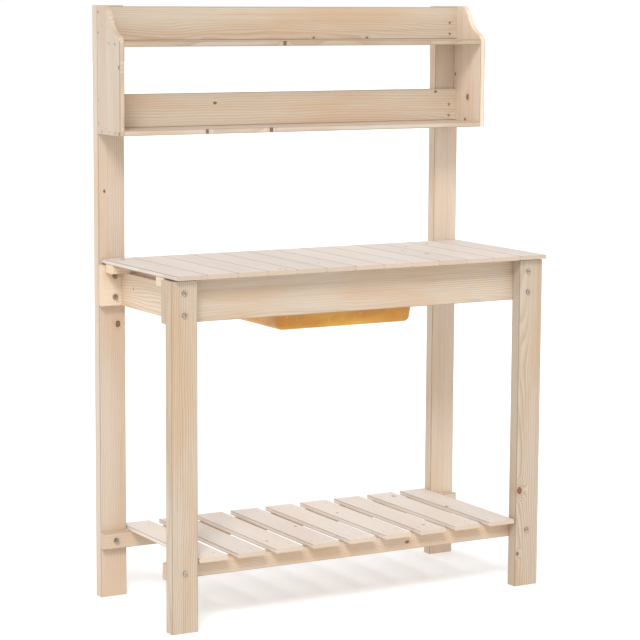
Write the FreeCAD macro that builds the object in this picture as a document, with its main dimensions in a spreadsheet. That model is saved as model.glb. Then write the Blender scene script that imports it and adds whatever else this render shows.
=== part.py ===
"""Potting bench: a softwood bench with a two-part sliding worktop over a hanging basin,
a low slatted shelf and a raised shelf unit on the tall rear posts.

Frame: origin on the floor below the centre of the whole bench, +Z up, the front faces -Y.
Inside this file places are given from the bench corner: x from the left outer face,
y from the front faces of the legs towards the back, z from the floor, in millimetres.
"""
import FreeCAD, Part
import math
import os
import re
import Sketcher

SIZES = {
    # frame
    "bench_width": 980, "frame_depth": 406, "post_height": 1383,
    "post_width": 66, "post_thickness": 27, "leg_width": 64, "leg_thickness": 30,
    "edge_round": 1.2,
    # worktop
    "top_height": 802, "slat_thickness": 10, "slat_gap": 0.45,
    "top_left_inset": 7.5, "top_right_overhang": 2.7, "front_overhang": 13,
    "rear_clearance": 1.5, "seat_gap": 3,
    "batten_height": 20, "batten_width": 40, "batten_clearance": 2,
    "left_stop_gap": 3.5, "right_stop_gap": 33.5, "stop_thickness": 18, "stop_length": 60, "stop_height": 38,
    # aprons and basin rails
    "apron_height": 96, "apron_thickness": 20,
    "side_apron_thickness": 18, "basin_rail_thickness": 28, "basin_rail_height": 60,
    "rebate_width": 12, "rebate_depth": 6, "rail_block": 20, "rail_block_height": 44,
    # basin
    "basin_length": 385, "basin_depth": 279, "basin_height": 115, "basin_taper": 17,
    "basin_wall": 2.5, "basin_rim": 12, "basin_corner": 34, "basin_base_round": 13,
    "basin_rail_gap": 1.5,
    # low shelf
    "rail_bottom": 118, "rail_height": 38, "rail_thickness": 18,
    "shelf_slat_width": 72, "shelf_slat_thickness": 10, "shelf_side_gap": 2,
    # shelf unit
    "unit_depth": 120, "unit_height": 292, "side_thickness": 12,
    "board_thickness": 12, "back_height": 77.5, "shelf_spacing": 200,
    "ogee_run": 84, "ogee_drop": 84, "ogee_waist_run": 57, "ogee_waist_drop": 29,
    "ogee_toe_run": 18, "ogee_toe_drop": 66, "ogee_upper_radius": 45,
    "ogee_lower_radius": 74, "ogee_toe_radius": 23,
    # fasteners
    "bolt_diameter": 6, "bolt_clearance": 0.25, "head_diameter": 11, "head_height": 3.5,
    "socket_diameter": 4.6, "socket_depth": 2.2,
    "washer_diameter": 14, "washer_thickness": 1.2, "nut_diameter": 11, "nut_height": 5,
    "bolt_end": 2.5, "bolt_drop": 26, "bolt_spacing": 49, "washer_gap": 1,
    "screw_diameter": 3.5, "screw_head": 7, "screw_head_height": 1.8, "screw_clearance": 0.1,
    "screw_length": 34, "top_screw_length": 26, "screw_inset": 18, "screw_gap": 3.25,
    "nail_diameter": 2, "nail_head": 4, "nail_head_height": 1, "nail_length": 34,
    "shelf_screw_front": 25, "shelf_screw_middle": 57, "shelf_screw_rear": 97,
    "lower_end_screw": 12, "upper_end_screw": 18, "end_screw_drop": 13,
    "post_screw_low": 12, "post_screw_high": 39,
}

LEFT_SLATS = 7
RIGHT_SLATS = 6
SHELF_SLATS = 9

doc = FreeCAD.newDocument("PottingBench")
sheet = doc.addObject("Spreadsheet::Sheet", "Sizes")
for row, (alias, value) in enumerate(SIZES.items(), start=1):
    sheet.set(f"A{row}", alias)
    sheet.set(f"B{row}", str(value))
    sheet.setAlias(f"B{row}", alias)
doc.recompute()

ALIAS = re.compile(r"\b(" + "|".join(sorted(SIZES, key=len, reverse=True)) + r")\b")
nodes = []

# Levels and places that several pieces share, as formulas of the sizes.
CENTRE_X = "((bench_width + top_right_overhang) / 2)"
CENTRE_Y = "((frame_depth + head_height - front_overhang) / 2)"
TOP_LENGTH = "(bench_width + top_right_overhang - top_left_inset)"
SLAT_PITCH = f"(({TOP_LENGTH} + slat_gap) / {LEFT_SLATS + RIGHT_SLATS})"
SLAT_WIDTH = f"({SLAT_PITCH} - slat_gap)"
SLAT_UNDERSIDE = "(top_height - slat_thickness)"
APRON_TOP = f"({SLAT_UNDERSIDE} - seat_gap)"
APRON_BOTTOM = f"({APRON_TOP} - apron_height)"
BATTEN_BOTTOM = f"({SLAT_UNDERSIDE} - batten_height)"
SIDE_APRON_HEIGHT = f"({BATTEN_BOTTOM} - {APRON_BOTTOM})"
POST_FACE = "(frame_depth - post_thickness)"
APRON_BACK = "(leg_thickness + apron_thickness)"
REAR_APRON_FACE = f"({POST_FACE} - apron_thickness)"
INNER_DEPTH = f"({REAR_APRON_FACE} - {APRON_BACK})"
SIDE_APRON_X = "(post_width - side_apron_thickness)"
TOP_DEPTH = f"({POST_FACE} - rear_clearance + front_overhang)"
REAR_BATTEN_Y = f"({REAR_APRON_FACE} - batten_clearance - batten_width)"
FRONT_BATTEN_Y = f"({APRON_BACK} + batten_clearance)"
BASIN_SIDE = "((bench_width - basin_length) / 2)"
BASIN_FRONT = f"({APRON_BACK} + ({INNER_DEPTH} - basin_depth) / 2)"
RIM_LEVEL = f"({BATTEN_BOTTOM} - rebate_depth)"
BASIN_RAIL_X = f"({BASIN_SIDE} - basin_rail_gap - basin_rail_thickness)"
SHELF_LEVEL = "(rail_bottom + rail_height)"
SHELF_START = "(max(post_width; leg_width) + shelf_side_gap)"
SHELF_PITCH = f"((bench_width - 2 * {SHELF_START} - shelf_slat_width) / {SHELF_SLATS - 1})"
UNIT_Y = f"({POST_FACE} - unit_depth)"
UNIT_INNER = "(bench_width - 2 * side_thickness)"
UNIT_BOTTOM = "(post_height - unit_height)"
BACK_Y = f"({POST_FACE} - board_thickness)"
UPPER_LEVEL = f"({UNIT_BOTTOM} + shelf_spacing)"
LOWER_BACK_Z = f"({UNIT_BOTTOM} + board_thickness)"
UPPER_BACK_Z = f"({UPPER_LEVEL} + board_thickness)"
LEFT_BOLT_X = f"({SIDE_APRON_X} * 2 / 3)"
RIGHT_BOLT_X = f"(bench_width - {LEFT_BOLT_X})"
FRONT_RIGHT_BOLT_X = f"(bench_width - {SIDE_APRON_X} + washer_diameter / 2 + washer_gap)"
APRON_BOLT_LEVELS = [f"({APRON_TOP} - bolt_drop)", f"({APRON_TOP} - bolt_drop - bolt_spacing)"]
RAIL_BOLT_Z = "(rail_bottom + rail_height / 2)"
BOLT_HOLE = "(bolt_diameter + 2 * bolt_clearance)"
NUT_STACK = "(washer_thickness + nut_height + bolt_end)"
SIDE_SCREW_X = f"({SIDE_APRON_X} + side_apron_thickness / 2)"
SIDE_SCREW_LEVELS = ["screw_inset", f"({SIDE_APRON_HEIGHT} - screw_inset)"]
POST_MIDDLES = ["(post_width / 2)", "(bench_width - post_width / 2)"]
POST_SCREW_RISES = ["post_screw_low", "post_screw_high"]
UNIT_SCREW_LENGTH = "(post_width / 2 - screw_diameter / 2 - screw_gap)"
SCREW_BODY = "(screw_length - screw_clearance)"
SCREW_HOLE = "(screw_diameter + 2 * screw_clearance)"
SCREW_RECESS = "(screw_head + 2 * screw_clearance)"
HEAD_RECESS = "(screw_head_height + screw_clearance)"
NAIL_HOLE = "(nail_diameter + 2 * screw_clearance)"
NAIL_RECESS = "(nail_head + 2 * screw_clearance)"


def bind(formula):
    """The formula with every size name pointed at its cell."""
    return ALIAS.sub(r"Sizes.\1", str(formula))


def value(formula):
    """The formula's value now, for the first shape of a sketch."""
    return float(sheet.evalExpression(bind(formula)))


def new_body(name):
    """An empty body whose label names its node."""
    body = doc.addObject("PartDesign::Body", name)
    body.Label = name
    body.AllowCompound = True
    nodes.append(body)
    return body


def place(body, x, y, z):
    """Puts the body's own corner at a point given from the bench corner."""
    body.setExpression("Placement.Base.x", bind(f"{x} - {CENTRE_X}"))
    body.setExpression("Placement.Base.y", bind(f"{y} - {CENTRE_Y}"))
    body.setExpression("Placement.Base.z", bind(z))


def new_sketch(body, plane, level="0"):
    """A sketch on one of the body's origin planes, moved along +X, +Y or +Z to a level."""
    sketch = body.newObject("Sketcher::SketchObject", f"{body.Name}_sketch")
    origin = [o for o in body.Origin.OriginFeatures if o.Role == plane][0]
    sketch.AttachmentSupport = [(origin, "")]
    sketch.MapMode = "FlatFace"
    sign = "-" if plane == "XZ_Plane" else ""
    sketch.setExpression("AttachmentOffset.Base.z", bind(f"{sign}({level})"))
    return sketch


def bound(sketch, constraint, formula):
    """Adds a constraint and binds its size."""
    index = sketch.addConstraint(constraint)
    sketch.setExpression(f"Constraints[{index}]", bind(formula))


def add_outline(sketch, points):
    """A closed outline of straight lines through points given as pairs of formulas."""
    first = sketch.GeometryCount
    spots = [FreeCAD.Vector(value(u), value(v), 0) for u, v in points]
    count = len(spots)
    for i in range(count):
        sketch.addGeometry(Part.LineSegment(spots[i], spots[(i + 1) % count]), False)
    for i in range(count):
        sketch.addConstraint(Sketcher.Constraint(
            "Coincident", first + i, 2, first + (i + 1) % count, 1))
        pin_point(sketch, first + i, 1, points[i])


def pin_point(sketch, index, end, point):
    """Holds one end of a curve at a pair of formulas from the sketch's origin."""
    for kind, formula in zip(("DistanceX", "DistanceY"), point):
        if str(formula) == "0":
            axis = -2 if kind == "DistanceX" else -1
            sketch.addConstraint(Sketcher.Constraint("PointOnObject", index, end, axis))
        else:
            bound(sketch, Sketcher.Constraint(kind, -1, 1, index, end, value(formula)), formula)


def add_circles(sketch, points, diameter):
    """Circles of one diameter with their centres at pairs of formulas."""
    for u, v in points:
        centre = FreeCAD.Vector(value(u), value(v), 0)
        index = sketch.addGeometry(
            Part.Circle(centre, FreeCAD.Vector(0, 0, 1), value(diameter) / 2), False)
        pin_point(sketch, index, 3, (u, v))
        bound(sketch, Sketcher.Constraint("Diameter", index, value(diameter)), diameter)


def rectangle(width, height):
    """The corners of a rectangle that starts at the sketch's origin."""
    return [("0", "0"), (width, "0"), (width, height), ("0", height)]


def pad(body, sketch, length, plane):
    """Pads a sketch towards +X, +Y or +Z."""
    feature = body.newObject("PartDesign::Pad", f"{body.Name}_pad")
    feature.Profile = sketch
    feature.Reversed = plane == "XZ_Plane"
    feature.setExpression("Length", bind(length))
    body.Tip = feature
    return feature


def pocket(body, sketch, depth, plane):
    """Cuts a sketch towards +X, +Y or +Z to a depth and checks that it did cut."""
    doc.recompute()
    before = body.Shape.Volume
    feature = body.newObject("PartDesign::Pocket", f"{body.Name}_pocket")
    feature.Profile = sketch
    feature.Reversed = plane != "XZ_Plane"
    feature.setExpression("Length", bind(depth))
    body.Tip = feature
    doc.recompute()
    if body.Shape.Volume >= before:
        raise RuntimeError(f"{body.Label}: a pocket cut nothing")
    return feature


def holes(body, plane, points, diameter, level, depth):
    """Round holes that start at a level and run towards + for a depth."""
    sketch = new_sketch(body, plane, level)
    add_circles(sketch, points, diameter)
    return pocket(body, sketch, depth, plane)


def repeat(body, feature, axis, spacing, count):
    """Repeats a pocket or pad along one of the body's axes."""
    line = [o for o in body.Origin.OriginFeatures if o.Role == axis][0]
    pattern = body.newObject("PartDesign::LinearPattern", f"{body.Name}_pattern")
    pattern.Originals = [feature]
    pattern.Direction = (line, [""])
    pattern.Mode = "Extent"
    pattern.setExpression("Length", bind(f"{spacing} * {count - 1}"))
    pattern.Occurrences = count
    body.Tip = pattern
    return pattern


def round_long_edges(body, feature, axis, radius):
    """Rounds the straight edges that run along an axis (0, 1 or 2)."""
    doc.recompute()
    names = []
    for i, edge in enumerate(feature.Shape.Edges, start=1):
        direction = edge.tangentAt(edge.FirstParameter)
        if abs(direction[axis]) > 0.999:
            names.append(f"Edge{i}")
    fillet = body.newObject("PartDesign::Fillet", f"{body.Name}_fillet")
    fillet.Base = (feature, names)
    fillet.setExpression("Radius", bind(radius))
    body.Tip = fillet
    return fillet


def board(name, size, corner, grain):
    """A straight board with its long edges eased; grain is the axis it runs along."""
    body = new_body(name)
    place(body, *corner)
    sketch = new_sketch(body, "XY_Plane")
    add_outline(sketch, rectangle(size[0], size[1]))
    solid = pad(body, sketch, size[2], "XY_Plane")
    round_long_edges(body, solid, grain, "edge_round")
    return body


def pegs(body, plane, points, diameter, level, length):
    """Round pegs of one diameter from a level towards + for a length."""
    sketch = new_sketch(body, plane, level)
    add_circles(sketch, points, diameter)
    return pad(body, sketch, length, plane)


def mirrored_x(x, width):
    """The corner of a piece's mirror image on the other side of the bench."""
    return f"(bench_width - ({x}) - ({width}))"


def apron_bolts(end, sides=("left", "right")):
    """Centres of the bolts of the front or rear apron, given from the bench corner."""
    right = FRONT_RIGHT_BOLT_X if end == "front" else RIGHT_BOLT_X
    places = {"left": LEFT_BOLT_X, "right": right}
    return [(places[side], z) for side in sides for z in APRON_BOLT_LEVELS]


def rail_bolts(sides=("left", "right")):
    """Centres of the bolts of a shelf rail, given from the bench corner."""
    places = {"left": LEFT_BOLT_X, "right": RIGHT_BOLT_X}
    return [(places[side], RAIL_BOLT_Z) for side in sides]


def seen_from(points, x, z):
    """Points given from the bench corner, given from a piece's own corner instead."""
    return [(f"({u} - {x})", f"({v} - {z})") for u, v in points]


# ---------------------------------------------------------------- frame

def make_posts_and_legs():
    """Rear posts to full height and front legs up to just below the slats."""
    screw_heights = [f"({z} + {rise})" for z in (LOWER_BACK_Z, UPPER_BACK_Z) for rise in POST_SCREW_RISES]
    screw_points = [("(post_width / 2)", z) for z in screw_heights]
    screw_bite = "(screw_length - board_thickness + screw_clearance)"
    leg_size = ("leg_width", "leg_thickness", APRON_TOP)
    post_size = ("post_width", "post_thickness", "post_height")
    for side, post_x, leg_x in (("left", "0", "0"),
                                ("right", "(bench_width - post_width)", "(bench_width - leg_width)")):
        rear_bolts = apron_bolts("rear", [side]) + rail_bolts([side])
        front_bolts = apron_bolts("front", [side]) + rail_bolts([side])
        post = board(f"rear_post_{side}", post_size, (post_x, POST_FACE, "0"), 2)
        holes(post, "XZ_Plane", seen_from(rear_bolts, post_x, "0"), BOLT_HOLE, "0", "post_thickness")
        holes(post, "XZ_Plane", screw_points, SCREW_HOLE, "0", screw_bite)
        leg = board(f"front_leg_{side}", leg_size, (leg_x, "0", "0"), 2)
        holes(leg, "XZ_Plane", seen_from(front_bolts, leg_x, "0"), BOLT_HOLE, "0", "leg_thickness")


def make_aprons():
    """Front and rear aprons across the bench, side aprons between them."""
    screw_points = [(x, z) for x in (SIDE_SCREW_X, f"(bench_width - {SIDE_SCREW_X})")
                    for z in SIDE_SCREW_LEVELS]
    for end, y, outer in (("front", "leg_thickness", "0"),
                          ("rear", REAR_APRON_FACE, f"(apron_thickness - {HEAD_RECESS})")):
        size = ("bench_width", "apron_thickness", "apron_height")
        apron = board(f"{end}_apron", size, ("0", y, APRON_BOTTOM), 0)
        bolt_points = seen_from(apron_bolts(end), "0", APRON_BOTTOM)
        holes(apron, "XZ_Plane", bolt_points, BOLT_HOLE, "0", "apron_thickness")
        holes(apron, "XZ_Plane", screw_points, SCREW_HOLE, "0", "apron_thickness")
        holes(apron, "XZ_Plane", screw_points, SCREW_RECESS, outer, HEAD_RECESS)

    pilot = "(screw_length - apron_thickness + screw_clearance)"
    pilot_points = [("(side_apron_thickness / 2)", z) for z in SIDE_SCREW_LEVELS]
    size = ("side_apron_thickness", INNER_DEPTH, SIDE_APRON_HEIGHT)
    for side, x in (("left", SIDE_APRON_X), ("right", mirrored_x(SIDE_APRON_X, "side_apron_thickness"))):
        apron = board(f"side_apron_{side}", size, (x, APRON_BACK, APRON_BOTTOM), 1)
        for start in ("0", f"({INNER_DEPTH} - {pilot})"):
            holes(apron, "XZ_Plane", pilot_points, SCREW_HOLE, start, pilot)


def make_basin_rails():
    """Rails beside the basin, rebated for its rim, with corner blocks to the aprons."""
    for side in ("left", "right"):
        left = side == "left"
        x = BASIN_RAIL_X if left else mirrored_x(BASIN_RAIL_X, "basin_rail_thickness")
        rail = board(f"basin_rail_{side}", ("basin_rail_thickness", INNER_DEPTH, "basin_rail_height"),
                     (x, APRON_BACK, f"({BATTEN_BOTTOM} - basin_rail_height)"), 1)
        sketch = new_sketch(rail, "XZ_Plane")
        low = "(basin_rail_height - rebate_depth)"
        inner = "(basin_rail_thickness - rebate_width)" if left else "0"
        outer = "basin_rail_thickness" if left else "rebate_width"
        add_outline(sketch, [(inner, low), (outer, low), (outer, "basin_rail_height"),
                             (inner, "basin_rail_height")])
        pocket(rail, sketch, INNER_DEPTH, "XZ_Plane")

    blocks = new_body("basin_rail_blocks")
    place(blocks, "0", "0", f"({BATTEN_BOTTOM} - basin_rail_height)")
    left_x = f"({BASIN_RAIL_X} - rail_block)"
    for x in (left_x, mirrored_x(left_x, "rail_block")):
        for y in (APRON_BACK, f"({REAR_APRON_FACE} - rail_block)"):
            sketch = new_sketch(blocks, "XY_Plane")
            add_outline(sketch, [(x, y), (f"({x} + rail_block)", y),
                                 (f"({x} + rail_block)", f"({y} + rail_block)"),
                                 (x, f"({y} + rail_block)")])
            pad(blocks, sketch, "rail_block_height", "XY_Plane")


def rounded_rectangle(sketch, margin, radius):
    """A rectangle with round corners, inset by a margin from the basin's top outline."""
    low_u, low_v = f"({BASIN_SIDE} + {margin})", f"({BASIN_FRONT} + {margin})"
    high_u = f"({BASIN_SIDE} + basin_length - {margin})"
    high_v = f"({BASIN_FRONT} + basin_depth - {margin})"
    lu, lv, hu, hv, r = (value(f) for f in (low_u, low_v, high_u, high_v, radius))
    vec = FreeCAD.Vector
    first = sketch.GeometryCount
    spots = [((lu + r, lv), (hu - r, lv)), ((hu, lv + r), (hu, hv - r)),
             ((hu - r, hv), (lu + r, hv)), ((lu, hv - r), (lu, lv + r))]
    centres = [(hu - r, lv + r), (hu - r, hv - r), (lu + r, hv - r), (lu + r, lv + r)]
    quarter = math.pi / 2
    for i in range(4):
        a, b = spots[i]
        sketch.addGeometry(Part.LineSegment(vec(*a, 0), vec(*b, 0)), False)
        circle = Part.Circle(vec(*centres[i], 0), vec(0, 0, 1), r)
        sketch.addGeometry(Part.ArcOfCircle(circle, (i - 1) * quarter, i * quarter), False)
    for i in range(4):
        line, arc, following = first + 2 * i, first + 2 * i + 1, first + (2 * i + 2) % 8
        sketch.addConstraint(Sketcher.Constraint("Tangent", line, 2, arc, 1))
        sketch.addConstraint(Sketcher.Constraint("Tangent", arc, 2, following, 1))
        sketch.addConstraint(Sketcher.Constraint("Horizontal" if i % 2 == 0 else "Vertical", line))
        bound(sketch, Sketcher.Constraint("Radius", arc, r), radius)
    for line, kind, formula in ((0, "DistanceY", low_v), (2, "DistanceX", high_u),
                                (4, "DistanceY", high_v), (6, "DistanceX", low_u)):
        bound(sketch, Sketcher.Constraint(kind, -1, 1, first + line, 1, value(formula)), formula)


def tapered_block(body, margin, level):
    """A block as wide as the basin less a margin all round, narrower at its rounded base."""
    inset = f"({margin} + basin_taper * (1 - {level} / basin_height))"
    sketch = new_sketch(body, "XY_Plane", level)
    rounded_rectangle(sketch, inset, f"(basin_corner - {inset})")
    block = pad(body, sketch, f"(basin_height - {level})", "XY_Plane")
    block.setExpression("TaperAngle", bind("atan(basin_taper / basin_height)"))
    doc.recompute()
    names = []
    for i, edge in enumerate(block.Shape.Edges, start=1):
        if edge.BoundBox.ZMax < value(level) + 1e-4:
            names.append(f"Edge{i}")
    fillet = body.newObject("PartDesign::Fillet", f"{body.Name}_fillet")
    fillet.Base = (block, names)
    fillet.setExpression("Radius", bind(f"(basin_base_round - {margin})"))
    body.Tip = fillet


def make_basin():
    """A tapered plastic basin with a flat rim that rests in the rebates of the rails."""
    hollow = doc.addObject("PartDesign::Body", "basin_hollow")
    tapered_block(hollow, "basin_wall", "basin_wall")
    basin = new_body("basin")
    place(basin, "0", "0", f"({RIM_LEVEL} - basin_height)")
    tapered_block(basin, "0", "0")
    cut = basin.newObject("PartDesign::Boolean", "basin_cut")
    cut.Type = "Cut"
    cut.setObjects([hollow])
    basin.Tip = cut
    doc.recompute()

    rim = new_sketch(basin, "XY_Plane", "basin_height")
    rounded_rectangle(rim, "(-basin_rim)", "(basin_corner + basin_rim)")
    rounded_rectangle(rim, "basin_wall", "(basin_corner - basin_wall)")
    pad(basin, rim, "basin_wall", "XY_Plane")


# ---------------------------------------------------------------- worktop

def slat_x(number):
    """Left edge of a worktop slat, counted from 0."""
    return f"(top_left_inset + {number} * {SLAT_PITCH})"


def make_worktop():
    """Thirteen close slats in two halves, each on a front and a rear batten."""
    pair = [f"({SLAT_WIDTH} / 2 - screw_inset)", f"({SLAT_WIDTH} / 2 + screw_inset)"]
    batten_y = (FRONT_BATTEN_Y, REAR_BATTEN_Y)
    bite = "(top_screw_length - batten_height + screw_clearance)"
    slat_points = [(u, f"({y} + batten_width / 2 + front_overhang)") for u in pair for y in batten_y]
    for number in range(LEFT_SLATS + RIGHT_SLATS):
        slat = board(f"top_slat_{number + 1}", (SLAT_WIDTH, TOP_DEPTH, "slat_thickness"),
                     (slat_x(number), "(-front_overhang)", SLAT_UNDERSIDE), 1)
        holes(slat, "XY_Plane", slat_points, SCREW_HOLE, "0", bite)

    for side, start, count in (("left", 0, LEFT_SLATS), ("right", LEFT_SLATS, RIGHT_SLATS)):
        length = f"({count} * {SLAT_PITCH} - slat_gap)"
        for end, y in zip(("front", "rear"), batten_y):
            batten = board(f"{side}_top_{end}_batten", (length, "batten_width", "batten_height"),
                           (slat_x(start), y, BATTEN_BOTTOM), 0)
            points = [(u, "(batten_width / 2)") for u in pair]
            hole = holes(batten, "XY_Plane", points, SCREW_HOLE, "0", "batten_height")
            repeat(batten, hole, "X_Axis", SLAT_PITCH, count)
            recess = holes(batten, "XY_Plane", points, SCREW_RECESS, "0", HEAD_RECESS)
            repeat(batten, recess, "X_Axis", SLAT_PITCH, count)

        screws = new_body(f"{side}_top_screws")
        place(screws, slat_x(start), "0", f"({BATTEN_BOTTOM} + screw_clearance)")
        points = [(u, f"({y} + batten_width / 2)") for u in pair for y in batten_y]
        reach = "(top_screw_length - screw_clearance)"
        for diameter, length in (("screw_head", "screw_head_height"), ("screw_diameter", reach)):
            peg = pegs(screws, "XY_Plane", points, diameter, "0", length)
            repeat(screws, peg, "X_Axis", SLAT_PITCH, count)

    stop_z = f"({SLAT_UNDERSIDE} - stop_height)"
    stop_y = "((frame_depth - stop_length) / 2)"
    left_x = f"({BASIN_RAIL_X} - left_stop_gap - stop_thickness)"
    right_x = f"(bench_width - {BASIN_RAIL_X} + right_stop_gap)"
    for side, x in (("left", left_x), ("right", right_x)):
        board(f"{side}_top_stop", ("stop_thickness", "stop_length", "stop_height"), (x, stop_y, stop_z), 1)


# ---------------------------------------------------------------- low shelf

def shelf_slat_x(number):
    """Left edge of a slat of the low shelf, counted from 0."""
    return f"({SHELF_START} + {number} * {SHELF_PITCH})"


def make_low_shelf():
    """Two rails and nine spaced slats nailed down on them."""
    pair = ["(shelf_slat_width / 2 - screw_inset)", "(shelf_slat_width / 2 + screw_inset)"]
    rail_y = {"front": "leg_thickness", "rear": f"({POST_FACE} - rail_thickness)"}
    bolts = seen_from(rail_bolts(), "0", "rail_bottom")
    nail_start = f"({SHELF_LEVEL} + shelf_slat_thickness - screw_clearance - nail_length)"
    bite = "(nail_length + 2 * screw_clearance - shelf_slat_thickness)"
    for end, y in rail_y.items():
        rail = board(f"shelf_rail_{end}", ("bench_width", "rail_thickness", "rail_height"),
                     ("0", y, "rail_bottom"), 0)
        holes(rail, "XZ_Plane", bolts, BOLT_HOLE, "0", "rail_thickness")
        points = [(f"({SHELF_START} + {u})", "(rail_thickness / 2)") for u in pair]
        pilot = holes(rail, "XY_Plane", points, NAIL_HOLE, f"(rail_height - {bite})", bite)
        repeat(rail, pilot, "X_Axis", SHELF_PITCH, SHELF_SLATS)

    points = [(u, f"({y} + rail_thickness / 2)") for u in pair for y in rail_y.values()]
    size = ("shelf_slat_width", "frame_depth", "shelf_slat_thickness")
    recess = "(nail_head_height + screw_clearance)"
    for number in range(SHELF_SLATS):
        slat = board(f"shelf_slat_{number + 1}", size, (shelf_slat_x(number), "0", SHELF_LEVEL), 1)
        holes(slat, "XY_Plane", points, NAIL_HOLE, "0", "shelf_slat_thickness")
        holes(slat, "XY_Plane", points, NAIL_RECESS, f"(shelf_slat_thickness - {recess})", recess)

    nails = new_body("shelf_slat_nails")
    place(nails, SHELF_START, "0", nail_start)
    head_level = "(nail_length - nail_head_height)"
    for diameter, level, length in (("nail_head", head_level, "nail_head_height"),
                                    ("nail_diameter", "0", "nail_length")):
        peg = pegs(nails, "XY_Plane", points, diameter, level, length)
        repeat(nails, peg, "X_Axis", SHELF_PITCH, SHELF_SLATS)


# ---------------------------------------------------------------- shelf unit

def add_arc(sketch, start, end, radius, side):
    """A short arc between two points; side 1 bulges to the right of the way, -1 to the left."""
    a, b = (FreeCAD.Vector(value(u), value(v), 0) for u, v in (start, end))
    chord = b - a
    across = FreeCAD.Vector(chord.y, -chord.x, 0).normalize()
    reach = math.sqrt(value(radius) ** 2 - chord.Length ** 2 / 4)
    centre = (a + b) / 2 - across * reach * side
    angles = [math.atan2(point.y - centre.y, point.x - centre.x) for point in (a, b)]
    circle = Part.Circle(centre, FreeCAD.Vector(0, 0, 1), value(radius))
    return sketch.addGeometry(Part.ArcOfCircle(circle, *angles[::side]), False)


def add_side_outline(sketch):
    """A side board seen from the side: upright, with an S-curved upper front corner."""
    height = "unit_height"
    corners = [("0", f"({height} - ogee_drop)"), ("0", "0"), ("unit_depth", "0"),
               ("unit_depth", height), ("ogee_run", height)]
    waist = ("ogee_waist_run", f"({height} - ogee_waist_drop)")
    toe = ("ogee_toe_run", f"({height} - ogee_toe_drop)")
    spots = [FreeCAD.Vector(value(u), value(v), 0) for u, v in corners]
    for a, b in zip(spots, spots[1:]):
        sketch.addGeometry(Part.LineSegment(a, b), False)
    shoulder = add_arc(sketch, corners[4], waist, "ogee_upper_radius", 1)
    hollow = add_arc(sketch, waist, toe, "ogee_lower_radius", -1)
    nose = add_arc(sketch, toe, corners[0], "ogee_toe_radius", 1)
    joins = [(0, 2, 1, 1), (1, 2, 2, 1), (2, 2, 3, 1), (3, 2, shoulder, 1),
             (shoulder, 2, hollow, 2), (hollow, 1, nose, 1), (nose, 2, 0, 1)]
    for join in joins:
        sketch.addConstraint(Sketcher.Constraint("Coincident", *join))
    for line in range(4):
        pin_point(sketch, line, 1, corners[line])
    pin_point(sketch, 3, 2, corners[4])
    pin_point(sketch, hollow, 2, waist)
    pin_point(sketch, nose, 1, toe)
    for arc, radius in ((shoulder, "ogee_upper_radius"), (hollow, "ogee_lower_radius"),
                        (nose, "ogee_toe_radius")):
        bound(sketch, Sketcher.Constraint("Radius", arc, value(radius)), radius)


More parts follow.
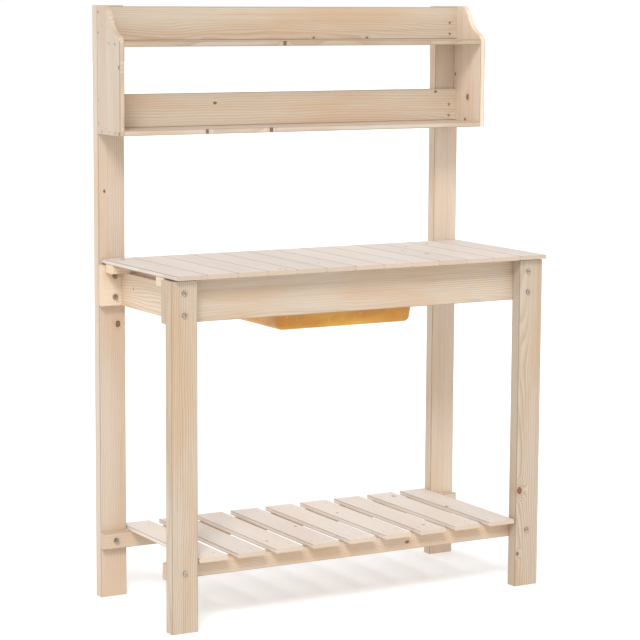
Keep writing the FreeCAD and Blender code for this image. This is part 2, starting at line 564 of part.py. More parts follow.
def make_shelf_unit():
    """Two curved side boards, two shelves and two back boards."""
    back = "(unit_depth - board_thickness / 2)"
    mid_low = "(board_thickness / 2)"
    mid_high = "(shelf_spacing + board_thickness / 2)"
    upper_y = ["shelf_screw_front", "shelf_screw_middle"]
    lower_y = [*upper_y, "shelf_screw_rear"]
    lower_rise = ["lower_end_screw", "(back_height - end_screw_drop)"]
    upper_rise = ["upper_end_screw", "(back_height - end_screw_drop)"]
    points = ([(y, mid_low) for y in lower_y] + [(y, mid_high) for y in upper_y]
              + [(back, f"(board_thickness + {rise})") for rise in lower_rise]
              + [(back, f"(shelf_spacing + board_thickness + {rise})") for rise in upper_rise])
    for side in ("left", "right"):
        body = new_body(f"unit_side_{side}")
        x = "0" if side == "left" else "(bench_width - side_thickness)"
        place(body, x, UNIT_Y, UNIT_BOTTOM)
        sketch = new_sketch(body, "YZ_Plane")
        add_side_outline(sketch)
        pad(body, sketch, "side_thickness", "YZ_Plane")
        holes(body, "YZ_Plane", points, SCREW_HOLE, "0", "side_thickness")
        outer = "0" if side == "left" else f"(side_thickness - {HEAD_RECESS})"
        holes(body, "YZ_Plane", points, SCREW_RECESS, outer, HEAD_RECESS)

    pilot = f"({UNIT_SCREW_LENGTH} - side_thickness + screw_clearance)"
    shelf_size = (UNIT_INNER, "unit_depth", "board_thickness")
    for name, level, shelf_y in (("lower_shelf", UNIT_BOTTOM, lower_y),
                                 ("upper_shelf", UPPER_LEVEL, upper_y)):
        shelf = board(name, shelf_size, ("side_thickness", UNIT_Y, level), 0)
        end_points = [(y, mid_low) for y in shelf_y]
        for start in ("0", f"({UNIT_INNER} - {pilot})"):
            holes(shelf, "YZ_Plane", end_points, SCREW_HOLE, start, pilot)

    post_points = [(f"({x} - side_thickness)", z) for x in POST_MIDDLES for z in POST_SCREW_RISES]
    for name, level, rises in (("lower_back_board", LOWER_BACK_Z, lower_rise),
                               ("upper_back_board", UPPER_BACK_Z, upper_rise)):
        back_board = board(name, (UNIT_INNER, "board_thickness", "back_height"),
                           ("side_thickness", BACK_Y, level), 0)
        end_points = [("(board_thickness / 2)", z) for z in rises]
        for start in ("0", f"({UNIT_INNER} - {pilot})"):
            holes(back_board, "YZ_Plane", end_points, SCREW_HOLE, start, pilot)
        holes(back_board, "XZ_Plane", post_points, SCREW_HOLE, "0", "board_thickness")
        holes(back_board, "XZ_Plane", post_points, SCREW_RECESS, "0", HEAD_RECESS)

    screws = new_body("unit_side_screws")
    place(screws, "0", UNIT_Y, UNIT_BOTTOM)
    shank = f"({UNIT_SCREW_LENGTH} - screw_clearance)"
    for level, head_level in (("screw_clearance", "screw_clearance"),
                              (f"(bench_width - {UNIT_SCREW_LENGTH})", f"(bench_width - {HEAD_RECESS})")):
        pegs(screws, "YZ_Plane", points, "screw_head", head_level, "screw_head_height")
        pegs(screws, "YZ_Plane", points, "screw_diameter", level, shank)

    screws = new_body("unit_post_screws")
    place(screws, "0", BACK_Y, "0")
    points = [(x, f"({z} + {rise})") for x in POST_MIDDLES
              for z in (LOWER_BACK_Z, UPPER_BACK_Z) for rise in POST_SCREW_RISES]
    pegs(screws, "XZ_Plane", points, "screw_head", "screw_clearance", "screw_head_height")
    pegs(screws, "XZ_Plane", points, "screw_diameter", "screw_clearance", SCREW_BODY)


# ---------------------------------------------------------------- fasteners

def make_side_apron_screws():
    """Screws through the front and rear aprons into the ends of the side aprons."""
    screws = new_body("side_apron_screws")
    place(screws, "0", "0", APRON_BOTTOM)
    points = [(x, z) for x in (SIDE_SCREW_X, f"(bench_width - {SIDE_SCREW_X})") for z in SIDE_SCREW_LEVELS]
    front = "(leg_thickness + screw_clearance)"
    rear = f"({POST_FACE} - screw_clearance)"
    pegs(screws, "XZ_Plane", points, "screw_head", front, "screw_head_height")
    pegs(screws, "XZ_Plane", points, "screw_diameter", front, SCREW_BODY)
    pegs(screws, "XZ_Plane", points, "screw_head", f"({rear} - screw_head_height)", "screw_head_height")
    pegs(screws, "XZ_Plane", points, "screw_diameter", f"({rear} - {SCREW_BODY})", SCREW_BODY)


def add_hexagons(sketch, points, diameter):
    """Regular hexagons, corner to corner as wide as the diameter."""
    half, rise = f"({diameter} / 2)", f"({diameter} * sqrt(3) / 4)"
    for u, v in points:
        add_outline(sketch, [(f"({u} + {half})", v), (f"({u} + {half} / 2)", f"({v} + {rise})"),
                             (f"({u} - {half} / 2)", f"({v} + {rise})"), (f"({u} - {half})", v),
                             (f"({u} - {half} / 2)", f"({v} - {rise})"),
                             (f"({u} + {half} / 2)", f"({v} - {rise})")])


def hex_nuts(nuts, points, level):
    """Hexagonal nuts with round bores."""
    sketch = new_sketch(nuts, "XZ_Plane", level)
    add_hexagons(sketch, points, "nut_diameter")
    pad(nuts, sketch, "nut_height", "XZ_Plane")
    holes(nuts, "XZ_Plane", points, BOLT_HOLE, level, "nut_height")


def flat_washers(washers, points, level):
    """Round washers with round bores."""
    pegs(washers, "XZ_Plane", points, "washer_diameter", level, "washer_thickness")
    holes(washers, "XZ_Plane", points, BOLT_HOLE, level, "washer_thickness")


def make_frame_bolts():
    """Bolts through legs and posts into aprons and shelf rails, with washers and nuts."""
    bolts, washers, nuts = (new_body(name) for name in ("frame_bolts", "frame_washers", "frame_nuts"))
    for body in (bolts, washers, nuts):
        place(body, "0", "0", "0")
    front = "(-head_height)"
    for end in ("front", "rear"):
        for points, thickness in ((apron_bolts(end), "apron_thickness"), (rail_bolts(), "rail_thickness")):
            if end == "front":
                inner = f"(leg_thickness + {thickness})"
                length = f"({inner} + {NUT_STACK} + head_height)"
                pegs(bolts, "XZ_Plane", points, "head_diameter", front, "head_height")
                pegs(bolts, "XZ_Plane", points, "bolt_diameter", front, length)
                flat_washers(washers, points, inner)
                hex_nuts(nuts, points, f"({inner} + washer_thickness)")
            else:
                inner = f"({POST_FACE} - {thickness})"
                length = f"(frame_depth - {inner} + {NUT_STACK} + head_height)"
                pegs(bolts, "XZ_Plane", points, "head_diameter", "frame_depth", "head_height")
                pegs(bolts, "XZ_Plane", points, "bolt_diameter", f"({inner} - {NUT_STACK})", length)
                flat_washers(washers, points, f"({inner} - washer_thickness)")
                hex_nuts(nuts, points, f"({inner} - washer_thickness - nut_height)")
    for end, level in (("front", front), ("rear", "(frame_depth + head_height - socket_depth)")):
        sketch = new_sketch(bolts, "XZ_Plane", level)
        add_hexagons(sketch, apron_bolts(end) + rail_bolts(), "socket_diameter")
        pocket(bolts, sketch, "socket_depth", "XZ_Plane")


# ---------------------------------------------------------------- build and write

def check_model():
    """Stops if any object failed or any piece is not a sound solid."""
    doc.recompute()
    for item in doc.Objects:
        if "Invalid" in item.State or "Error" in item.State:
            raise RuntimeError(f"{item.Label}: {item.State}")
    for node in nodes:
        shape = node.Shape
        if shape.isNull() or not shape.isValid() or not shape.Solids:
            raise RuntimeError(f"{node.Label}: not a valid solid")


make_posts_and_legs()
make_aprons()
make_basin_rails()
make_basin()
make_worktop()
make_low_shelf()
make_shelf_unit()
make_side_apron_screws()
make_frame_bolts()
check_model()

os.makedirs("parts", exist_ok=True)
for node in nodes:
    node.Shape.exportStep(f"parts/{node.Label}.step")
print(f"{len(nodes)} nodes written")
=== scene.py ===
"""Potting bench: spruce, zinc and plastic materials and a white studio around the CAD frame."""
import math
import random

import bpy
from mathutils import Matrix, Vector


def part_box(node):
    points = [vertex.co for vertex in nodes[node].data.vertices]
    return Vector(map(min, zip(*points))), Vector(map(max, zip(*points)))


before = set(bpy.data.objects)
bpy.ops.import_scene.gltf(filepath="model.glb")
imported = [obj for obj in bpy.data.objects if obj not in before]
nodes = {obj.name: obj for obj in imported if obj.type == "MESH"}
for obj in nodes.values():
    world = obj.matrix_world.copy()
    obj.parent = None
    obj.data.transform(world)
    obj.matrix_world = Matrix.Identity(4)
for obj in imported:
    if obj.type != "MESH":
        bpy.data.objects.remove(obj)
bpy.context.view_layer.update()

# ---------------------------------------------------------------- camera

CAMERA_PLACE = Vector((-2.7333, -4.7761, 1.4110))
CAMERA_AZIMUTH = math.radians(-29.733)
CAMERA_PITCH = math.radians(-7.867)
CAMERA_ROLL = math.radians(0.32)
LENS = 132.74
SENSOR = 36.0


def add_camera():
    """A long lens that looks slightly down at the bench from the front left."""
    data = bpy.data.cameras.new("camera")
    data.lens = LENS
    data.sensor_width = SENSOR
    camera = bpy.data.objects.new("camera", data)
    turn = (Matrix.Rotation(CAMERA_AZIMUTH, 4, "Z")
            @ Matrix.Rotation(math.pi / 2 + CAMERA_PITCH, 4, "X")
            @ Matrix.Rotation(CAMERA_ROLL, 4, "Z"))
    camera.matrix_world = Matrix.Translation(CAMERA_PLACE) @ turn
    bpy.context.scene.collection.objects.link(camera)
    bpy.context.scene.camera = camera


# ---------------------------------------------------------------- studio

WHITE = (1, 1, 1, 1)
WORLD_STRENGTH = 1.0
SUN_STRENGTH = 1.8
SUN_SOFTNESS = math.radians(18)
SUN_FROM = Vector((-0.8, -1.15, 1.25))
FLOOR_HALF = 40.0
FLOOR_PAINT = (0.78, 0.78, 0.78, 1)
FLOOR_GLOW = 0.25
FLOOR_ROUGHNESS = 0.8
FLOOR_SHINE = 0.2


def add_floor():
    """A wide pale floor that glows a little, so that the shadows on it stay pale."""
    mesh = bpy.data.meshes.new("floor")
    corners = [(-FLOOR_HALF, -FLOOR_HALF, 0), (FLOOR_HALF, -FLOOR_HALF, 0),
               (FLOOR_HALF, FLOOR_HALF, 0), (-FLOOR_HALF, FLOOR_HALF, 0)]
    mesh.from_pydata(corners, [], [(0, 1, 2, 3)])
    floor = bpy.data.objects.new("floor", mesh)
    bpy.context.scene.collection.objects.link(floor)
    paint, _, shader = new_material("floor_paint")
    shader.inputs["Base Color"].default_value = FLOOR_PAINT
    shader.inputs["Emission Color"].default_value = WHITE
    shader.inputs["Emission Strength"].default_value = FLOOR_GLOW
    shader.inputs["Roughness"].default_value = FLOOR_ROUGHNESS
    shader.inputs["Specular IOR Level"].default_value = FLOOR_SHINE
    mesh.materials.append(paint)


def add_light():
    """A white sky, and one soft sun from the front left."""
    data = bpy.data.lights.new("sun", "SUN")
    data.energy = SUN_STRENGTH
    data.angle = SUN_SOFTNESS
    sun = bpy.data.objects.new("sun", data)
    sun.rotation_euler = SUN_FROM.to_track_quat("Z", "Y").to_euler()
    bpy.context.scene.collection.objects.link(sun)

    world = bpy.data.worlds.new("studio")
    world.use_nodes = True
    background = world.node_tree.nodes["Background"]
    background.inputs["Color"].default_value = WHITE
    background.inputs["Strength"].default_value = WORLD_STRENGTH
    bpy.context.scene.world = world
    bpy.context.scene.view_settings.view_transform = "Standard"


# ---------------------------------------------------------------- node graphs

NUMBER, VECTOR, COLOUR = "NodeSocketFloat", "NodeSocketVector", "NodeSocketColor"


class Graph:
    """Short ways to add nodes to a tree; every value may be a number, a tuple or a socket."""

    def __init__(self, tree):
        self.tree = tree

    def put(self, socket, value):
        """Links a socket or sets its value."""
        if isinstance(value, bpy.types.NodeSocket):
            self.tree.links.new(value, socket)
        else:
            socket.default_value = value

    def coordinates(self, kind):
        """Texture coordinates, such as Object or Normal."""
        return self.tree.nodes.new("ShaderNodeTexCoord").outputs[kind]

    def math(self, operation, *values):
        """A math node's result."""
        node = self.tree.nodes.new("ShaderNodeMath")
        node.operation = operation
        for socket, value in zip(node.inputs, values):
            self.put(socket, value)
        return node.outputs[0]

    def sway(self, value, size):
        """A value from 0 to 1 made to sway about zero, by half a size each way."""
        return self.math("MULTIPLY", self.math("SUBTRACT", value, 0.5), size)

    def vector(self, operation, *values):
        """A vector math node's vector result."""
        node = self.tree.nodes.new("ShaderNodeVectorMath")
        node.operation = operation
        for socket, value in zip(node.inputs, values):
            self.put(socket, value)
        return node.outputs["Vector"]

    def scale(self, value, factor):
        """A vector or a colour times a number."""
        node = self.tree.nodes.new("ShaderNodeVectorMath")
        node.operation = "SCALE"
        self.put(node.inputs[0], value)
        self.put(node.inputs["Scale"], factor)
        return node.outputs["Vector"]

    def length(self, value):
        """The length of a vector."""
        node = self.tree.nodes.new("ShaderNodeVectorMath")
        node.operation = "LENGTH"
        self.put(node.inputs[0], value)
        return node.outputs["Value"]

    def split(self, value):
        """The three parts of a vector."""
        node = self.tree.nodes.new("ShaderNodeSeparateXYZ")
        self.put(node.inputs[0], value)
        return node.outputs[0], node.outputs[1], node.outputs[2]

    def join(self, x, y, z):
        """A vector made from three parts."""
        node = self.tree.nodes.new("ShaderNodeCombineXYZ")
        for socket, value in zip(node.inputs, (x, y, z)):
            self.put(socket, value)
        return node.outputs[0]

    def noise(self, place, waves, detail=2.0):
        """Noise from 0 to 1 with so many waves per metre along each axis."""
        node = self.tree.nodes.new("ShaderNodeTexNoise")
        self.put(node.inputs["Vector"], self.vector("MULTIPLY", place, waves))
        node.inputs["Scale"].default_value = 1.0
        node.inputs["Detail"].default_value = detail
        return node.outputs[0]

    def ramp(self, value, low, high, start, end):
        """Runs smoothly from start to end as the value goes from low to high."""
        node = self.tree.nodes.new("ShaderNodeMapRange")
        node.interpolation_type = "SMOOTHSTEP"
        names = ("Value", "From Min", "From Max", "To Min", "To Max")
        for name, part in zip(names, (value, low, high, start, end)):
            self.put(node.inputs[name], part)
        return node.outputs[0]

    def mix(self, factor, first, second):
        """Two colours mixed."""
        node = self.tree.nodes.new("ShaderNodeMix")
        node.data_type = "RGBA"
        self.put(node.inputs["Factor"], factor)
        self.put(node.inputs[6], first)
        self.put(node.inputs[7], second)
        return node.outputs[2]

    def bump(self, height, distance):
        """A normal bent by a height field whose full step is a distance in metres."""
        node = self.tree.nodes.new("ShaderNodeBump")
        node.inputs["Strength"].default_value = 1.0
        node.inputs["Distance"].default_value = distance
        self.put(node.inputs["Height"], height)
        return node.outputs[0]

    def group(self, tree, **values):
        """A group node with its inputs set; underscores in a name stand for spaces."""
        node = self.tree.nodes.new("ShaderNodeGroup")
        node.node_tree = tree
        for label, value in values.items():
            self.put(node.inputs[label.replace("_", " ")], value)
        return node.outputs


def new_material(name):
    """A new material, with its graph and its shader."""
    material = bpy.data.materials.new(name)
    material.use_nodes = True
    return material, Graph(material.node_tree), material.node_tree.nodes["Principled BSDF"]


def new_group(name, inputs, outputs):
    """An empty node group: its tree, its graph, its input sockets and its result sockets."""
    tree = bpy.data.node_groups.new(name, "ShaderNodeTree")
    for label, kind in inputs:
        tree.interface.new_socket(label, in_out="INPUT", socket_type=kind)
    for label, kind in outputs:
        tree.interface.new_socket(label, in_out="OUTPUT", socket_type=kind)
    source = tree.nodes.new("NodeGroupInput")
    result = tree.nodes.new("NodeGroupOutput")
    return tree, Graph(tree), source.outputs, result.inputs


def colour(red, green, blue):
    """A linear colour from the 0 to 255 values that a screen shows."""
    parts = [(part / 255 / 12.92) if part < 10 else ((part / 255 + 0.055) / 1.055) ** 2.4
             for part in (red, green, blue)]
    return (*parts, 1.0)


# ---------------------------------------------------------------- spruce

EARLY_WOOD = colour(198, 182, 160)
LATE_WOOD = colour(178, 148, 118)
WARM_WOOD = colour(197, 172, 144)
PALE_WOOD = colour(200, 188, 174)
# Pale grey that whitens boards: partly bleached wood and partly a painted highlight for the washed-out
# light on lit tops.
BLEACHED_WOOD_AND_HIGHLIGHT = colour(212, 207, 205)
END_GRAIN = colour(180, 158, 132)
EDGE_GRIME_AND_SHADE = colour(150, 128, 104)
# Edge colour: grime, and painted shade in the seams between boards.
KNOT_HEART = colour(142, 98, 66)
KNOT_RIM = colour(88, 54, 34)
STREAK = colour(184, 156, 128)

# Noise: waves per metre along, across and through the board, and how far a sway goes in metres.
WOBBLE_WAVES, WOBBLE = (2.4, 11, 11), 0.03
RIPPLE_WAVES, RIPPLE = (14, 60, 60), 0.0022
CONTRAST_WAVES = (1.1, 24, 24)
FIBRE_WAVES = (22, 900, 900)
STREAK_WAVES = (1.6, 130, 130)
CLOUD_WAVES = (3.0, 16, 16)
SEED_SHIFT = 3.7    # how far a board's seed moves it through the noise

# A ramp is given as the two values it runs between, and what it gives at each of them.
PALE_CLOUDS = (0.32, 0.68, 0.0, 1.0)
EARLY_CLOUDS = (0.4, 0.6, 0.0, 0.5)
STREAK_SHARE = (0.5, 0.8, 0.0, 0.7)

# A ring darkens slowly through its late wood and ends sharply, by shares of its width.
LATE_WOOD_GROWS = (0.25, 0.9, 0.0, 1.0)
LATE_WOOD_STOPS = (0.93, 1.0, 1.0, 0.0)
LATE_WOOD_CONTRAST = (0.3, 0.7, 0.3, 0.85)
SLOPE_OF_GRAIN = 0.004

# A knot is longer along the board than across, has a ragged rim, and bends the rings near it. The
# halo darkens the wood by how far the rings are bent, in metres.
KNOT_NARROWING = 0.72
KNOT_RIM_WAVES, KNOT_RIM_RAGGEDNESS = (90, 90, 30), 0.55
KNOT_REACH_IN_RADII = 5.0
KNOT_BEND_IN_RADII = 2.2
KNOT_HEART_SHARE = (0.02, 0.12, 0.0, 1.0)
KNOT_RIM_STARTS = (0.0, 0.1, 0.0, 1.0)
KNOT_RIM_FADES = (0.15, 0.45, 1.0, 0.25)
KNOT_HALO = (0.001, 0.012, 0.0, 0.5)

# The edges are darkened, partly by grime and partly by painted shade in the seams between boards, fading
# out by how far in a point lies, in metres.
ARRIS = (0.0004, 0.0026, 1.0, 0.0)
ARRIS_FRAY = 0.002
ARRIS_DARKENING = 0.8

END_GRAIN_FACING = (0.6, 0.9, 0.0, 1.0)
END_GRAIN_SHARE = 0.65
FIBRE_LIGHT = (0.25, 0.75, -0.045, 0.03)
FIBRE_ROUGHNESS = (0.2, 0.8, 0.64, 0.5)
END_ROUGHER, LATE_SMOOTHER = 0.15, 0.06
FIBRE_HEIGHT, LATE_HEIGHT, KNOT_HEIGHT = 0.5, 0.35, 0.3
GRAIN_BUMP = 0.00035
WOOD_SHINE = 0.5
WOOD_SHEEN, WOOD_SHEEN_ROUGHNESS = 0.12, 0.45

# What each board draws for itself: its seed, where its pith lies, its rings and its tone.
SEEDS = (0, 9)
PITH_PAST_EDGE = (0.0, 0.06)
PITH_DEPTH = (0.01, 0.06)
RING_WIDTHS = (0.0032, 0.0058)
TONE_SPREAD = (0.96, 1.04)


def make_knot_group():
    """One knot that runs through a board: how far into it a point lies, and how it bends the rings."""
    tree, graph, source, result = new_group(
        "knot",
        [("Place", VECTOR), ("Along", NUMBER), ("Across", NUMBER), ("Radius", NUMBER)],
        [("Inside", NUMBER), ("Bend", NUMBER)])
    along, across, _ = graph.split(source["Place"])
    ragged = graph.sway(graph.noise(source["Place"], KNOT_RIM_WAVES), KNOT_RIM_RAGGEDNESS)
    reach = graph.length(graph.join(
        graph.math("MULTIPLY", graph.math("SUBTRACT", along, source["Along"]), KNOT_NARROWING),
        graph.math("SUBTRACT", across, source["Across"]), 0.0))
    steps = graph.math("ADD", graph.math("DIVIDE", reach, source["Radius"]), ragged)
    graph.put(result["Inside"], graph.math("SUBTRACT", 1.0, graph.math("MINIMUM", steps, 1.0)))
    near = graph.ramp(steps, 0.0, KNOT_REACH_IN_RADII, 1.0, 0.0)
    bend = graph.math("MULTIPLY", source["Radius"], KNOT_BEND_IN_RADII)
    graph.put(result["Bend"], graph.math("MULTIPLY", graph.math("MULTIPLY", near, near), bend))
    return tree


def late_wood(graph, source, seeded):
    """How much of the rings' dark late wood a point has, from 0 to 1."""
    along, across, through = graph.split(source["Place"])
    radius = graph.length(graph.join(graph.math("SUBTRACT", across, source["Pith Across"]),
                                     graph.math("SUBTRACT", through, source["Pith Through"]), 0.0))
    drift = graph.math("MULTIPLY", along, SLOPE_OF_GRAIN)
    wobble = graph.sway(graph.noise(seeded, WOBBLE_WAVES), WOBBLE)
    ripple = graph.sway(graph.noise(seeded, RIPPLE_WAVES), RIPPLE)
    distance = graph.math("ADD", graph.math("ADD", radius, drift), graph.math("ADD", wobble, ripple))
    distance = graph.math("ADD", distance, source["Bend"])
    phase = graph.math("FRACT", graph.math("DIVIDE", distance, source["Ring Width"]))
    late = graph.math("MULTIPLY", graph.ramp(phase, *LATE_WOOD_GROWS), graph.ramp(phase, *LATE_WOOD_STOPS))
    contrast = graph.ramp(graph.noise(seeded, CONTRAST_WAVES), *LATE_WOOD_CONTRAST)
    return graph.math("MULTIPLY", late, contrast)


def arris_grime_and_shade(graph, source, streaks):
    """How far a point is darkened near an edge of its board, by grime and by painted seam shade, from 0 to
    1.
    """
    _, across, through = graph.split(source["Place"])
    to_side = graph.math("SUBTRACT", source["Half Width"], graph.math("ABSOLUTE", across))
    to_face = graph.math("SUBTRACT", source["Half Thickness"], graph.math("ABSOLUTE", through))
    to_edge = graph.math("MAXIMUM", to_side, to_face)
    frayed = graph.math("ADD", to_edge, graph.sway(streaks, ARRIS_FRAY))
    return graph.math("MULTIPLY", graph.ramp(frayed, *ARRIS), ARRIS_DARKENING)


def make_spruce_group():
    """Growth rings round a pith, fibres, streaks, knots and end grain as colour, gloss and height."""
    numbers = ("Seed", "Pith Across", "Pith Through", "Ring Width", "Half Width", "Half Thickness",
               "Tone", "Bleach", "End", "Knot", "Bend")
    tree, graph, source, result = new_group(
        "spruce",
        [("Place", VECTOR), *((label, NUMBER) for label in numbers)],
        [("Color", COLOUR), ("Roughness", NUMBER), ("Height", NUMBER)])
    shift = graph.math("MULTIPLY", source["Seed"], SEED_SHIFT)
    seeded = graph.vector("ADD", source["Place"], graph.join(shift, source["Seed"], shift))
    late = late_wood(graph, source, seeded)
    fibres = graph.noise(seeded, FIBRE_WAVES, 3.0)
    streaks = graph.noise(seeded, STREAK_WAVES, 3.0)
    clouds = graph.noise(seeded, CLOUD_WAVES)

    wood = graph.mix(graph.ramp(clouds, *PALE_CLOUDS), WARM_WOOD, PALE_WOOD)
    wood = graph.mix(graph.ramp(clouds, *EARLY_CLOUDS), wood, EARLY_WOOD)
    wood = graph.mix(graph.ramp(streaks, *STREAK_SHARE), wood, STREAK)
    wood = graph.mix(late, wood, LATE_WOOD)
    # Whitening: partly bleached wood and partly a painted highlight for the washed-out light on lit tops.
    wood = graph.mix(source["Bleach"], wood, BLEACHED_WOOD_AND_HIGHLIGHT)
    wood = graph.mix(graph.math("MULTIPLY", source["End"], END_GRAIN_SHARE), wood, END_GRAIN)

    knot = source["Knot"]
    wood = graph.mix(graph.ramp(source["Bend"], *KNOT_HALO), wood, LATE_WOOD)
    wood = graph.mix(graph.ramp(knot, *KNOT_HEART_SHARE), wood, KNOT_HEART)
    rim = graph.math("MULTIPLY", graph.ramp(knot, *KNOT_RIM_STARTS), graph.ramp(knot, *KNOT_RIM_FADES))
    wood = graph.mix(rim, wood, KNOT_RIM)
    # Darker edges: grime, and painted shade in the seams between boards.
    wood = graph.mix(arris_grime_and_shade(graph, source, streaks), wood, EDGE_GRIME_AND_SHADE)
    # The board's lightness is partly painted light: boards in shade are lifted and lit ones darkened.
    light = graph.math("ADD", source["Tone"], graph.ramp(fibres, *FIBRE_LIGHT))
    graph.put(result["Color"], graph.scale(wood, light))

    rough = graph.math("ADD", graph.ramp(fibres, *FIBRE_ROUGHNESS),
                       graph.math("MULTIPLY", source["End"], END_ROUGHER))
    smoother = graph.math("MULTIPLY", late, LATE_SMOOTHER)
    graph.put(result["Roughness"], graph.math("SUBTRACT", rough, smoother))
    height = graph.math("ADD", graph.math("MULTIPLY", fibres, FIBRE_HEIGHT),
                        graph.math("MULTIPLY", late, LATE_HEIGHT))
    graph.put(result["Height"], graph.math("ADD", height, graph.math("MULTIPLY", knot, KNOT_HEIGHT)))
    return tree


KNOT_GROUP = make_knot_group()
SPRUCE_GROUP = make_spruce_group()


def board_axes(name):
    """The axes that run along, across and through a board, longest first."""
    low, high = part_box(name)
    sizes = [high[axis] - low[axis] for axis in range(3)]
    return sorted(range(3), key=lambda axis: -sizes[axis])


def spruce(name, knots, lightness, whitening):
    """A board's own piece of spruce; knots are given along and across from its middle, with a radius."""
    chance = random.Random(name)
    low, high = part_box(name)
    along, across, through = board_axes(name)
    width = high[across] - low[across]
    thickness = high[through] - low[through]
    material, graph, shader = new_material(f"spruce_{name}")
    centre = tuple((low[axis] + high[axis]) / 2 for axis in range(3))
    parts = graph.split(graph.vector("SUBTRACT", graph.coordinates("Object"), centre))
    place = graph.join(parts[along], parts[across], parts[through])
    facing = graph.split(graph.coordinates("Normal"))[along]
    end = graph.ramp(graph.math("ABSOLUTE", facing), *END_GRAIN_FACING)

    inside, bend = 0.0, 0.0
    for knot_along, knot_across, radius in knots:
        knot = graph.group(KNOT_GROUP, Place=place, Along=knot_along, Across=knot_across, Radius=radius)
        inside = graph.math("MAXIMUM", inside, knot["Inside"])
        bend = graph.math("ADD", bend, knot["Bend"])

    wood = graph.group(
        SPRUCE_GROUP, Place=place, Seed=chance.uniform(*SEEDS),
        Pith_Across=chance.choice((-1, 1)) * (width / 2 + chance.uniform(*PITH_PAST_EDGE)),
        Pith_Through=chance.choice((-1, 1)) * chance.uniform(*PITH_DEPTH),
        Ring_Width=chance.uniform(*RING_WIDTHS), Half_Width=width / 2, Half_Thickness=thickness / 2,
        Tone=lightness * chance.uniform(*TONE_SPREAD), Bleach=whitening, End=end, Knot=inside, Bend=bend)
    graph.put(shader.inputs["Base Color"], wood["Color"])
    graph.put(shader.inputs["Roughness"], wood["Roughness"])
    graph.put(shader.inputs["Normal"], graph.bump(wood["Height"], GRAIN_BUMP))
    shader.inputs["Specular IOR Level"].default_value = WOOD_SHINE
    shader.inputs["Sheen Weight"].default_value = WOOD_SHEEN
    shader.inputs["Sheen Roughness"].default_value = WOOD_SHEEN_ROUGHNESS
    return material


# ---------------------------------------------------------------- zinc and plastic

DULL_ZINC = colour(146, 138, 124)
BRIGHT_ZINC = colour(192, 184, 168)
BLOTCH_WAVES = (260, 260, 260)
BRIGHT_BLOTCHES = (0.3, 0.7, 0.0, 1.0)
BLOTCH_ROUGHNESS = (0.3, 0.7, 0.42, 0.3)
SCRATCH_WAVES = (900, 2600, 900)
SCRATCH_ROUGHER = (0.4, 0.7, 0.0, 0.12)
SCRATCH_BUMP = 0.00004

DARK_PLASTIC = colour(190, 126, 38)
LIGHT_PLASTIC = colour(212, 160, 54)
SCUFFED_PLASTIC = colour(222, 184, 122)
FLOW_WAVES = (9, 14, 22)
LIGHT_FLOW = (0.3, 0.7, 0.0, 1.0)
SKIN_WAVES = (1400, 1400, 1400)
SKIN_ROUGHNESS = (0.3, 0.7, 0.32, 0.42)
SKIN_BUMP = 0.00006
SCUFF_WAVES = (160, 30, 60)
SCUFFS = (0.6, 0.75, 0.0, 1.0)
SCUFF_SHARE = 0.35
SCUFF_ROUGHER = 0.15


def zinc(name):
    """Zinc plate: a dull metal with faint blotches and fine scratches."""
    material, graph, shader = new_material(name)
    place = graph.coordinates("Object")
    blotches = graph.noise(place, BLOTCH_WAVES, 3.0)
    scratches = graph.noise(place, SCRATCH_WAVES)
    tint = graph.mix(graph.ramp(blotches, *BRIGHT_BLOTCHES), DULL_ZINC, BRIGHT_ZINC)
    rough = graph.math("ADD", graph.ramp(blotches, *BLOTCH_ROUGHNESS),
                       graph.ramp(scratches, *SCRATCH_ROUGHER))
    graph.put(shader.inputs["Base Color"], tint)
    graph.put(shader.inputs["Roughness"], rough)
    graph.put(shader.inputs["Normal"], graph.bump(scratches, SCRATCH_BUMP))
    shader.inputs["Metallic"].default_value = 1.0
    return material


def basin_plastic(name):
    """Moulded orange-yellow plastic with a fine satin skin, slight flow marks and scuffs."""
    material, graph, shader = new_material(name)
    place = graph.coordinates("Object")
    flow = graph.noise(place, FLOW_WAVES, 3.0)
    skin = graph.noise(place, SKIN_WAVES)
    scuffs = graph.ramp(graph.noise(place, SCUFF_WAVES, 4.0), *SCUFFS)
    tint = graph.mix(graph.ramp(flow, *LIGHT_FLOW), DARK_PLASTIC, LIGHT_PLASTIC)
    tint = graph.mix(graph.math("MULTIPLY", scuffs, SCUFF_SHARE), tint, SCUFFED_PLASTIC)
    rough = graph.math("ADD", graph.ramp(skin, *SKIN_ROUGHNESS),
                       graph.math("MULTIPLY", scuffs, SCUFF_ROUGHER))
    graph.put(shader.inputs["Base Color"], tint)
    graph.put(shader.inputs["Roughness"], rough)
    graph.put(shader.inputs["Normal"], graph.bump(skin, SKIN_BUMP))
    return material


# ---------------------------------------------------------------- boards and their finishes

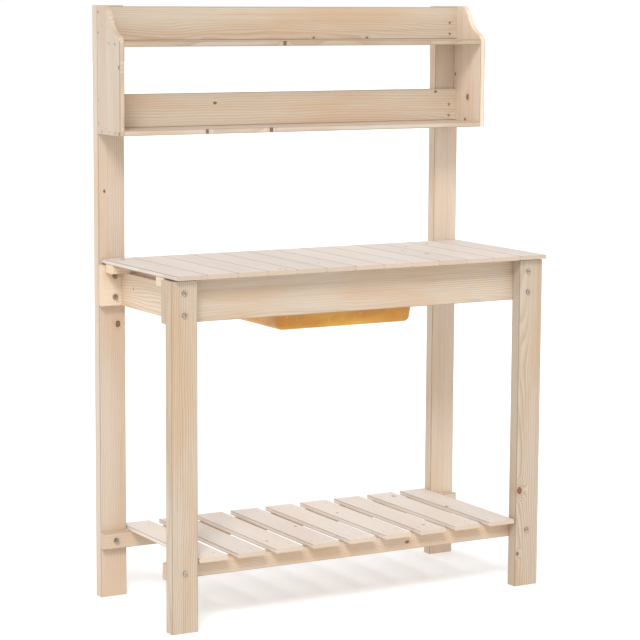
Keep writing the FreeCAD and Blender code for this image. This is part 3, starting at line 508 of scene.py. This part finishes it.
# Knots of some boards: metres along and across from the board's middle, and radius. Those of the
# posts, legs and shelf unit follow the photograph, and those of the aprons and slats are mostly
# invented. A board with an empty list has no knots, and a board that isn't here gets stray ones.
KNOTS = {
    "rear_post_left": [(-0.044, 0.014, 0.0062), (0.2665, -0.0176, 0.003)],
    "rear_post_right": [],
    "front_leg_left": [],
    "front_leg_right": [(-0.160, -0.0225, 0.0065), (-0.3147, -0.0254, 0.0035)],
    "unit_side_left": [(0.0081, -0.056, 0.0032), (-0.141, -0.0552, 0.003)],
    "unit_side_right": [(-0.0757, -0.004, 0.0055), (-0.021, 0.0521, 0.003), (-0.0841, 0.0506, 0.0028),
                        (-0.1328, 0.0058, 0.004)],
    "upper_shelf": [(-0.0672, -0.061, 0.0032)],
    "lower_shelf": [(-0.2694, -0.061, 0.0028), (-0.1023, -0.0615, 0.0036)],
    "lower_back_board": [(-0.1946, 0.0145, 0.0035), (0.4178, 0.0317, 0.003)],
    "upper_back_board": [(0.0703, -0.0345, 0.0025), (0.219, -0.0346, 0.0025)],
    "front_apron": [],
    "rear_apron": [(0.12, 0.02, 0.004)],
    "side_apron_left": [(0.09, 0.006, 0.0025)],
    "top_slat_2": [(-0.192, 0.02, 0.0022)],
    "top_slat_8": [(-0.17, 0.012, 0.003)],
    "top_slat_11": [(0.11, -0.015, 0.0035)],
    "shelf_slat_3": [(-0.12, -0.015, 0.003)],
    "shelf_slat_4": [(-0.02, 0.02, 0.0035)],
    "shelf_slat_6": [(0.06, -0.012, 0.003)],
    "shelf_slat_7": [(-0.15, 0.006, 0.003)],
}
STRAY_KNOT_COUNTS = (0, 0, 1, 1, 2)
STRAY_KNOT_RADII = (0.0025, 0.005)
STRAY_ALONG = (-0.45, 0.45)     # in lengths of the board from its middle
STRAY_ACROSS = (-0.4, 0.4)      # in widths

# How light a board is against the usual 1, by a word in its name: partly its own tone and partly painted
# light, lifting boards that lie in shade, such as the aprons, back boards and inner side, and darkening
# lit ones, such as the front legs.
TONES_WITH_PAINTED_LIGHT = {"front_leg": 0.84, "rear_post_right": 1.08, "upper_back_board": 1.0, "lower_back_board": 1.08,
         "upper_shelf": 0.8, "lower_shelf": 0.93, "unit_side_left": 0.89, "unit_side_right": 1.25,
         "side_apron": 1.2, "rear_apron": 1.25, "left_top": 1.3, "top_slat": 0.99, "front_apron": 0.89,
         "rear_post_left": 0.98, "shelf_slat": 1.08}
# How far a board is bleached toward white, by a word in its name: partly paler wood and partly a painted
# highlight for the washed-out light on lit tops.
BLEACH_AND_HIGHLIGHT_SHARES = {"slat": 0.5, "post": 0.1, "unit_side": 0.12, "lower_shelf": 0.15}
FASTENERS = ("frame_bolts", "frame_washers", "frame_nuts", "shelf_slat_nails", "unit_side_screws",
             "unit_post_screws", "side_apron_screws", "left_top_screws", "right_top_screws")


def stray_knots(name):
    """Up to two small knots, at places that a board draws for itself."""
    chance = random.Random("knots of " + name)
    low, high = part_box(name)
    along, across, _ = board_axes(name)
    length, width = (high[axis] - low[axis] for axis in (along, across))
    return [(chance.uniform(*STRAY_ALONG) * length, chance.uniform(*STRAY_ACROSS) * width,
             chance.uniform(*STRAY_KNOT_RADII)) for _ in range(chance.choice(STRAY_KNOT_COUNTS))]


def pick(table, name, usual):
    """The amount of the table's first word that is in a node's name, or the usual amount."""
    return next((amount for word, amount in table.items() if word in name), usual)


def finish_node(name, material):
    """Gives a CAD node one material in every slot it has."""
    slots = nodes[name].material_slots
    for slot in slots:
        slot.link = "OBJECT"
        slot.material = material
    if not slots:
        nodes[name].data.materials.append(material)


def finish_everything():
    """Spruce for each board, zinc for the fasteners, plastic for the basin."""
    metal = zinc("zinc")
    for name in nodes:
        if name in FASTENERS:
            finish_node(name, metal)
        elif name == "basin":
            finish_node(name, basin_plastic("basin_plastic"))
        else:
            knots = KNOTS.get(name, stray_knots(name))
            finish_node(name, spruce(name, knots, pick(TONES_WITH_PAINTED_LIGHT, name, 1.0), pick(BLEACH_AND_HIGHLIGHT_SHARES, name, 0.0)))


add_camera()
add_floor()
add_light()
finish_everything()
